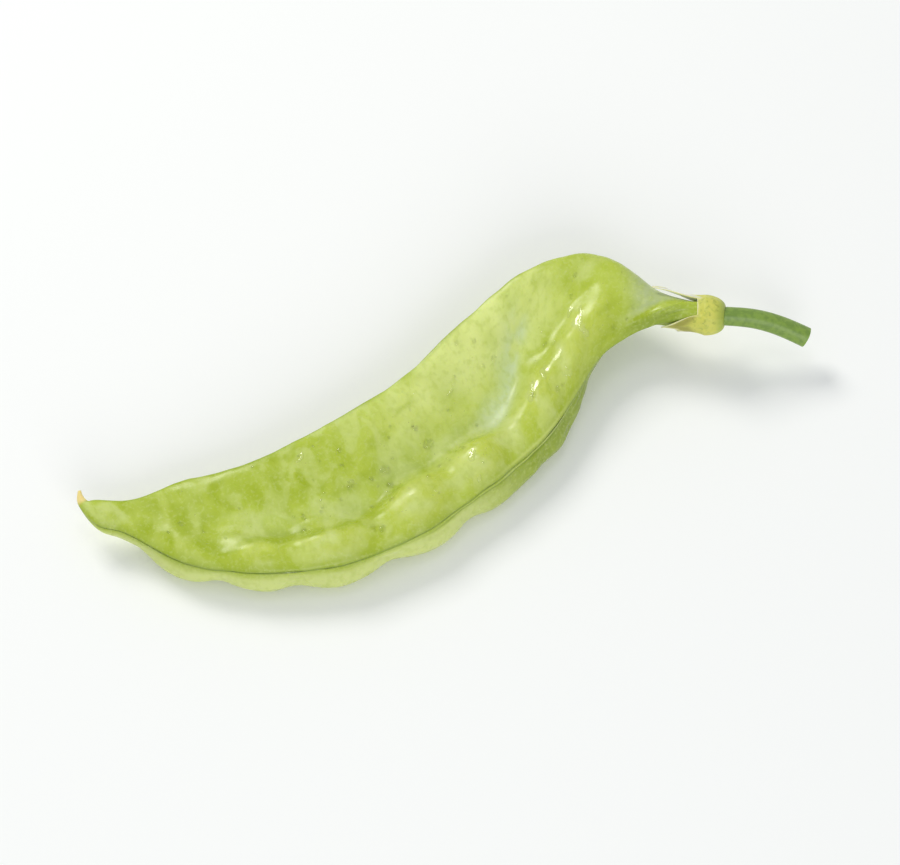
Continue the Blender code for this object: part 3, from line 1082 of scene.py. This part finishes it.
    def build(self) -> bpy.types.Object:
        """Makes the fine skin: the valves with their relief, and the notes for the material.

        Returns:
            The piece.
        """
        knots = self.knots()
        self.along = knots[-1] * crowded(self.rings - 1, self.end_crowding)
        rings, skin, swell = self.surface(self.along, self.valve_steps)
        along = self.along[:, None]
        upper = np.arange(skin.shape[1])[None, :] <= self.valve_steps
        over = skin[:, self.valve_steps][:, None]
        line, sink, inner = self.crease(self.fold, self.along)
        line = line + self.fold_waver.at(np.stack([along, 0 * along, 0 * along], axis=-1))
        edge, drop, _ = self.crease(self.shoulder, self.along)
        at = Survey(rings, along, skin, over, swell, upper, line, sink, inner, edge, drop)
        height, lines = self.relief(at, knots[-4])
        self.normals = outward(rings)
        rings = rings + height[..., None] * self.normals
        rings[..., 2] = np.maximum(rings[..., 2], 0)
        self.points, self.skin = rings, skin
        notes = self.notes(replace(at, rings=rings), lines, knots[-3])
        piece = add_piece("pod_skin", with_poles(rings), tube_faces(*rings.shape[:2]), notes,
                          self.finish.material(), "pod")
        flow = np.stack([along + 0 * skin, np.where(upper, skin, -skin), 0 * skin], axis=-1) * MM
        flow_note = piece.data.attributes.new("flow", "FLOAT_VECTOR", "POINT")
        flow_note.data.foreach_set("vector", with_poles(flow).ravel().astype("f"))
        return piece

    def read(self, along: np.ndarray, depth: np.ndarray) -> tuple[np.ndarray, np.ndarray]:
        """Points and normals of the upper valve at distances along it and from the suture.

        The distances are turned into fractional grid places, and the four grid points round each
        are mixed by their shares.

        Args:
            along: Distances from the stalk end.
            depth: Distances from the suture, over the skin.

        Returns:
            The points and the normals.
        """
        row = np.interp(along, self.along, np.arange(len(self.along)))
        whole = np.interp(along, self.along, self.skin[:, self.valve_steps])
        shares = crowded(self.valve_steps, self.edge_crowding)
        column = np.interp(depth / whole, shares, np.arange(len(shares)))
        i = np.clip(row.astype(int), 0, len(self.along) - 2)
        j = np.clip(column.astype(int), 0, self.valve_steps - 1)
        a = (row - i)[..., None]
        b = (column - j)[..., None]
        read = []
        for grid in (self.points, self.normals):
            near = grid[i, j] * (1 - b) + grid[i, j + 1] * b
            far = grid[i + 1, j] * (1 - b) + grid[i + 1, j + 1] * b
            read.append(near * (1 - a) + far * a)
        return read[0], read[1]


@dataclass
class Calyx:
    """The cup round the end of the neck, with its five sepals laid back over the pod."""

    pod: Pod
    sepals: tuple[Sepal, ...] = SEPALS
    gap: float = 0.22
    wall: float = 0.73
    edge: float = 0.12
    rim: float = 0.9
    depth: float = 2.5
    floor: float = 0.4
    stalk_radius: float = 1.15
    taper: float = 0.8
    neck_rings: int = 60
    neck_steps: int = 70
    knob_rings: int = 14
    sleeve_rings: int = 24
    thinning: float = 1.6
    blade_run: float = 1.5
    ribs: int = 15
    rib_height: float = 0.012
    finish: TissueFinish = SEPAL_TISSUE

    def neck(self) -> tuple[np.ndarray, float]:
        """Fine rings of the neck, and how far they reach."""
        reach = max(s.length for s in self.sepals) + 1
        return self.pod.surface(np.linspace(0, reach, self.neck_rings), self.neck_steps)[0], reach

    def end(self) -> tuple[np.ndarray, np.ndarray]:
        """The middle of the neck's end, and the way that it points."""
        neck = self.neck()[0]
        return neck[0].mean(axis=0), -unit(np.gradient(neck.mean(axis=1), axis=0)[0])

    def build(self) -> bpy.types.Object:
        """Makes the cup and its sepals as one thin-edged surface.

        Its rings start at the stalk and follow a quarter ellipse out over the knob. They go on
        along the neck, where each point stands off the pod's skin by the gap and the wall, as far
        as a reach that peaks at each sepal's middle and falls in a power of the distance round the
        neck. They come back inside at the gap, and end at the floor of the cup.

        Returns:
            The piece.
        """
        neck, longest = self.neck()
        centre, axis = self.end()
        normals = outward(neck)
        normals = unit(normals - (normals @ axis)[..., None] * axis)
        around = lengths(neck[0])
        share = around / (around[-1] + np.linalg.norm(neck[0, -1] - neck[0, 0]))
        reach = np.full_like(share, self.rim)
        lift = np.zeros_like(share)
        paper = np.zeros_like(share)
        for sepal in self.sepals:
            away = np.abs((share - sepal.share + 0.5) % 1 - 0.5) / sepal.half
            reach += (sepal.length - self.rim) * np.clip(1 - away, 0, None) ** self.taper
            lift += sepal.lift * np.clip(1.4 - away, 0, 1)
            paper += sepal.papery * np.clip(1.5 - away, 0, 1)
        spokes = unit(neck[0] - centre - ((neck[0] - centre) @ axis)[:, None] * axis)
        radius = np.linalg.norm(neck[0] - centre, axis=1)
        turn = np.linspace(math.pi / 2, 0, self.knob_rings, endpoint=False)[:, None]
        bulge = self.stalk_radius + (radius + self.gap + self.wall - self.stalk_radius) * np.cos(turn)
        bulge = bulge * (1 + self.rib_height * np.cos(2 * math.pi * self.ribs * share))
        low = self.depth * np.sin(turn)
        knob = centre + spokes * bulge[..., None] + axis * low[..., None]
        part = np.linspace(0, 1, self.sleeve_rings)[:, None]
        rows = reach * part * (self.neck_rings - 1) / longest
        inside = self.gap + lift * part**2
        outside = inside + self.edge + (self.wall - self.edge) * (1 - part) ** self.thinning
        sleeve = self.on_neck(neck, normals, rows, outside)
        lining = self.on_neck(neck, normals, rows, inside)[::-1]
        floor = centre + spokes * radius[:, None] + axis * self.floor
        grid = np.vstack([knob, sleeve, lining, floor[None]])
        notes = {name: np.zeros(grid.shape[:2]) for name in ("base", "blade", "paper", "rim")}
        front = slice(self.knob_rings, self.knob_rings + self.sleeve_rings)
        back = slice(front.stop, front.stop + self.sleeve_rings)
        notes["base"][: self.knob_rings] = smooth(low, 1.2, 2.4)
        beyond = np.clip((reach - self.rim) / self.blade_run, 0, 1)
        notes["blade"][front] = beyond * smooth(part, 0.25, 0.6)
        notes["paper"][front] = paper * smooth(part, 0.2, 0.5)
        notes["paper"][back] = paper * part[::-1]
        notes["rim"][front] = smooth(part, 0.82, 0.98)
        notes["rim"][back] = smooth(part[::-1], 0.9, 1.0)
        piece = add_piece("calyx_cup", with_poles(grid), tube_faces(*grid.shape[:2]), notes,
                          self.finish.material(), "calyx")
        return piece

    @staticmethod
    def on_neck(neck: np.ndarray, normals: np.ndarray, rows: np.ndarray,
                stand: np.ndarray) -> np.ndarray:
        """Points over the columns of the neck's grid, at fractional rows and off the skin.

        Args:
            neck: The neck's rings.
            normals: Their normals.
            rows: The fractional row of each point.
            stand: How far each point stands off the skin.

        Returns:
            The points.
        """
        below = np.clip(np.floor(rows).astype(int), 0, len(neck) - 2)
        share = (rows - below)[..., None]
        columns = np.arange(neck.shape[1])
        near, far = (neck[i, columns] + normals[i, columns] * stand[..., None]
                     for i in (below, below + 1))
        return near * (1 - share) + far * share


@dataclass
class Stalk:
    """The stub of the stalk, from the calyx to its cut."""

    calyx: Calyx
    sunk: float = 0.3
    bends: tuple[Vector3, ...] = ((39.2, 1.2, 6.6), (42.1, -0.2, 5.6), (44.8, -1.9, 4.3))
    radius: float = 1.15
    spread: float = 1.1
    rings: int = 90
    sides: int = 64
    ribs: int = 5
    rib_height: float = 0.04
    cut_sizes: tuple[float, ...] = (0.97, 0.93, 0.86, 0.74, 0.6, 0.4, 0.2)
    cut_sinks: tuple[float, ...] = (0.0, 0.03, 0.07, 0.08, 0.09, 0.10, 0.10)
    pith_ring: int = 4
    pith_share: float = 0.8
    finish: TissueFinish = PEA_STALK

    def build(self) -> bpy.types.Object:
        """Makes the stalk: a circle with shallow cosine ribs, carried along the spline of its bends.

        The cut is a disc of rings that shrink to the middle and sink a little below the rind.

        Returns:
            The piece.
        """
        centre, axis = self.calyx.end()
        path = np.vstack([centre + axis * (self.calyx.depth - self.sunk), self.bends])
        knots = lengths(path)
        middle = natural_spline(knots, path, np.linspace(0, knots[-1], self.rings))
        forward = unit(np.gradient(middle, axis=0))
        sideways = unit(np.cross(forward, (0, 0, 1)))
        upward = np.cross(sideways, forward)
        turn = np.linspace(0, 2 * math.pi, self.sides, endpoint=False)[None, :, None]
        way = np.cos(turn) * sideways[:, None] + np.sin(turn) * upward[:, None]
        size = self.radius * np.linspace(1, self.spread, self.rings)[:, None, None]
        ribbed = size - self.rib_height * (1 - np.cos(self.ribs * turn)) / 2
        tube = middle[:, None] + way * ribbed
        shrink, sink = (np.array(v)[:, None, None] for v in (self.cut_sizes, self.cut_sinks))
        disc = middle[-1] + (tube[-1] - middle[-1]) * shrink - forward[-1] * sink
        grid = np.vstack([tube, disc])
        row = np.arange(len(grid))[:, None] - self.rings + np.zeros(self.sides)
        notes = {"cut": (row >= 1) * 1.0, "pith": (row >= self.pith_ring) * self.pith_share}
        piece = add_piece("stalk_stub", with_poles(grid), tube_faces(*grid.shape[:2]), notes,
                          self.finish.material(), "stalk")
        return piece


@dataclass
class Water:
    """Beads and runs of water that lie on the upper valve."""

    pod: Pod
    ribbons: tuple[Ribbon, ...] = RIBBONS
    beaded: tuple[Ribbon, ...] = BEADED
    drops: int = 70
    drop_sizes: tuple[float, float] = (0.16, 0.40)
    spray: int = 70
    spray_sizes: tuple[float, float] = (0.07, 0.15)
    sides: int = 20
    spray_sides: int = 8
    steps: int = 22
    sunk: float = 0.03
    bead_rings: tuple[float, ...] = (0.5, 1.0, 1.0, 0.96, 0.88, 0.74, 0.55, 0.3, 0.08)
    spray_rings: tuple[float, ...] = (0.5, 1.0, 0.85, 0.5, 0.1)
    bead_finish: WaterFinish = WATER
    film_finish: WaterFinish = WATER_FILM

    def beads(self, count: int, sizes: tuple[float, float], sides: int, out: tuple[float, ...],
              seed: int) -> np.ndarray:
        """A grid for each bead: a dome on an ellipse, with its foot just below the skin.

        Its height is a power of one less the squared share of the way out, along the skin's normal.

        Args:
            count: The number of beads.
            sizes: The least and the greatest radius. Small ones are commoner.
            sides: The number of points round a bead.
            out: The rings' shares of the way out, of which the first two are the sunk foot.
            seed: Fixes the places and the sizes.

        Returns:
            The beads' rings, with the top as the last one.
        """
        draw = np.random.default_rng(seed)
        spread = draw.uniform(9, 76, count)
        along = np.where(np.arange(count) % 3 > 0, spread, draw.normal(45, 8, count))
        whole = np.interp(along, self.pod.along, self.pod.skin[:, self.pod.valve_steps])
        depth = whole * draw.uniform(0.12, 0.94, count)
        size = sizes[0] + (sizes[1] - sizes[0]) * draw.uniform(0, 1, count) ** 3
        stretch = draw.uniform(0.85, 1.2, count)
        phase = draw.uniform(0, 2 * math.pi, count)
        values = np.stack([along, depth, size, stretch, phase], axis=1)
        along, depth, size, stretch, phase = values.T[:, :, None, None]
        out = np.array(out)[None, :, None]
        angle = np.linspace(0, 2 * math.pi, sides, endpoint=False)[None, None, :]
        far = out * size * (1 + 0.08 * np.cos(2 * angle + phase))
        along = along + stretch * far * np.cos(angle)
        points, normals = self.pod.read(along, depth + far * np.sin(angle))
        domes = 0.6 * size * (1 - out**2) ** 0.6 - self.sunk / 2
        domes = np.where(np.arange(out.shape[1])[None, :, None] < 2, -self.sunk, domes)
        return points + normals * domes[..., None]

    def runs(self, ribbons: tuple[Ribbon, ...]) -> np.ndarray:
        """A grid for each ribbon: a low half ellipse carried along the spline of its places.

        The half width wavers along it with a sine and closes at both ends like a circle.

        Args:
            ribbons: The ribbons.

        Returns:
            The ribbons' rings.
        """
        angle = np.linspace(0, 2 * math.pi, self.sides, endpoint=False)[None, :]
        share = np.linspace(-1, 1, self.steps)
        grids = []
        for number, ribbon in enumerate(ribbons):
            places = np.array(ribbon.places)
            knots = lengths(places)
            reach = knots[-1] / 2 + ribbon.width
            where = knots[-1] / 2 + reach * np.sin(share * math.pi / 2)
            inside = natural_spline(knots, places, np.clip(where, 0, knots[-1]))
            slope = unit(np.gradient(inside + 1e-6 * share[:, None], axis=0))
            first, last = unit(places[1] - places[0]), unit(places[-1] - places[-2])
            beyond = (where - np.clip(where, 0, knots[-1]))[:, None]
            path = inside + beyond * np.where(beyond < 0, first, last)
            slope = np.where(np.abs(beyond) > 0, np.where(beyond < 0, first, last), slope)
            half = ribbon.width * (1 + 0.25 * np.sin(5 * share + number))
            half = (half * np.sqrt(np.clip(1 - np.abs(np.sin(share * math.pi / 2)) ** 6, 0, 1)))[:, None]
            aside = half * np.cos(angle)
            along = path[:, :1] - slope[:, 1:] * aside
            depth = path[:, 1:] + slope[:, :1] * aside
            points, normals = self.pod.read(along, depth)
            rise = np.where(np.sin(angle) > 0, ribbon.height * np.sin(angle) * half / ribbon.width, 0)
            rise = np.where(np.sin(angle) < -0.01, -self.sunk, rise - self.sunk / 3)
            grids.append(points + normals * rise[..., None])
        return np.array(grids)

    def build(self) -> None:
        """Makes the drops as clear water, and the spray and the ribbons as a film."""
        drops = self.beads(self.drops, self.drop_sizes, self.sides, self.bead_rings, 21)
        spray = self.beads(self.spray, self.spray_sizes, self.spray_sides, self.spray_rings, 22)
        self.join("water_beads", (drops, self.runs(self.beaded)), self.bead_finish.material())
        self.join("water_film", (spray, self.runs(self.ribbons)), self.film_finish.material())

    @staticmethod
    def join(name: str, sets: tuple[np.ndarray, ...], material: bpy.types.Material) -> None:
        """Joins grids, each a closed surface by itself, into one piece.

        Args:
            name: The piece's name.
            sets: Arrays of grids.
            material: The piece's material.
        """
        points, faces, start = [], [], 0
        for grids in sets:
            each = tube_faces(*grids.shape[1:3])
            for grid in grids:
                cloud = with_poles(grid)
                turned = face_out(cloud, each)
                points.append(cloud)
                faces.append(np.where(turned < 0, turned, turned + start))
                start += len(cloud)
        add_piece(name, np.vstack(points), np.vstack(faces), {}, material)


@dataclass
class Studio:
    """A pale floor, soft light and the camera."""

    azimuth: float = -18.0
    elevation: float = 60.0
    distance: float = 700.0
    frame_width: float = 108.0
    aim: Vector3 = (0.0, -0.5, 3.0)
    sensor: float = 36.0
    clip: tuple[float, float] = (0.01, 20.0)
    lamps: tuple[Lamp, ...] = LAMPS
    floor_size: float = 6000.0
    floor_colour: str = "#F4F5F2"
    sky_colour: str = "#F6F9FF"
    sky_strength: float = 0.56

    @staticmethod
    def way(azimuth: float, elevation: float) -> np.ndarray:
        """The direction towards a place at that azimuth, 0 for -Y and 90 for +X, and elevation."""
        a, e = math.radians(azimuth), math.radians(elevation)
        return np.array([math.sin(a) * math.cos(e), -math.cos(a) * math.cos(e), math.sin(e)])

    @staticmethod
    def point_at(thing: bpy.types.Object, place: np.ndarray, target: np.ndarray) -> None:
        """Puts a camera or a light at a place in millimetres and turns it to a target."""
        back = Vector(place - target)
        thing.rotation_mode = "QUATERNION"
        thing.rotation_quaternion = back.to_track_quat("Z", "Y")
        thing.location = place * MM

    def add_camera(self) -> None:
        """Adds the camera, whose lens takes in the frame's width at the aim."""
        data = bpy.data.cameras.new("camera")
        data.sensor_width = self.sensor
        data.lens = self.sensor * self.distance / self.frame_width
        data.clip_start, data.clip_end = self.clip
        camera = add_object("camera", data)
        aim = np.array(self.aim)
        self.point_at(camera, aim + self.way(self.azimuth, self.elevation) * self.distance, aim)
        bpy.context.scene.camera = camera

    def add_lamp(self, lamp: Lamp) -> None:
        """Adds a square soft light that faces the middle of the floor."""
        data = bpy.data.lights.new(lamp.name, "AREA")
        data.size = lamp.side * MM
        data.energy = lamp.power
        data.color = linear(lamp.colour)[:3]
        place = self.way(self.azimuth + lamp.azimuth, lamp.elevation) * lamp.distance
        self.point_at(add_object(lamp.name, data), place, np.zeros(3))

    def build(self) -> None:
        """Adds the floor, the sky, the lights and the camera, and sets plain colours."""
        half = self.floor_size / 2 * MM
        mesh = bpy.data.meshes.new("floor")
        mesh.from_pydata([(-half, -half, 0), (half, -half, 0), (half, half, 0), (-half, half, 0)], [],
                         [(0, 1, 2, 3)])
        # White paper: matt and evenly pale, so that only the shadows show on it.
        made, shader = start_material("white_paper")
        set_inputs(shader, {"Base Color": linear(self.floor_colour), "Roughness": 0.8})
        mesh.materials.append(made)
        add_object("floor", mesh)
        world = bpy.data.worlds.new("sky")
        world.use_nodes = True
        sky = {"Color": linear(self.sky_colour), "Strength": self.sky_strength}
        set_inputs(world.node_tree.nodes["Background"], sky)
        bpy.context.scene.world = world
        bpy.context.scene.view_settings.view_transform = "Standard"
        for lamp in self.lamps:
            self.add_lamp(lamp)
        self.add_camera()


def main() -> None:
    """Builds the pieces in order."""
    logging.basicConfig(level=logging.INFO, format="%(name)s: %(message)s")
    pod = Pod()
    pod.build()
    calyx = Calyx(pod)
    calyx.build()
    Stalk(calyx).build()
    Water(pod).build()
    Studio().build()


if __name__ == "__main__":
    main()
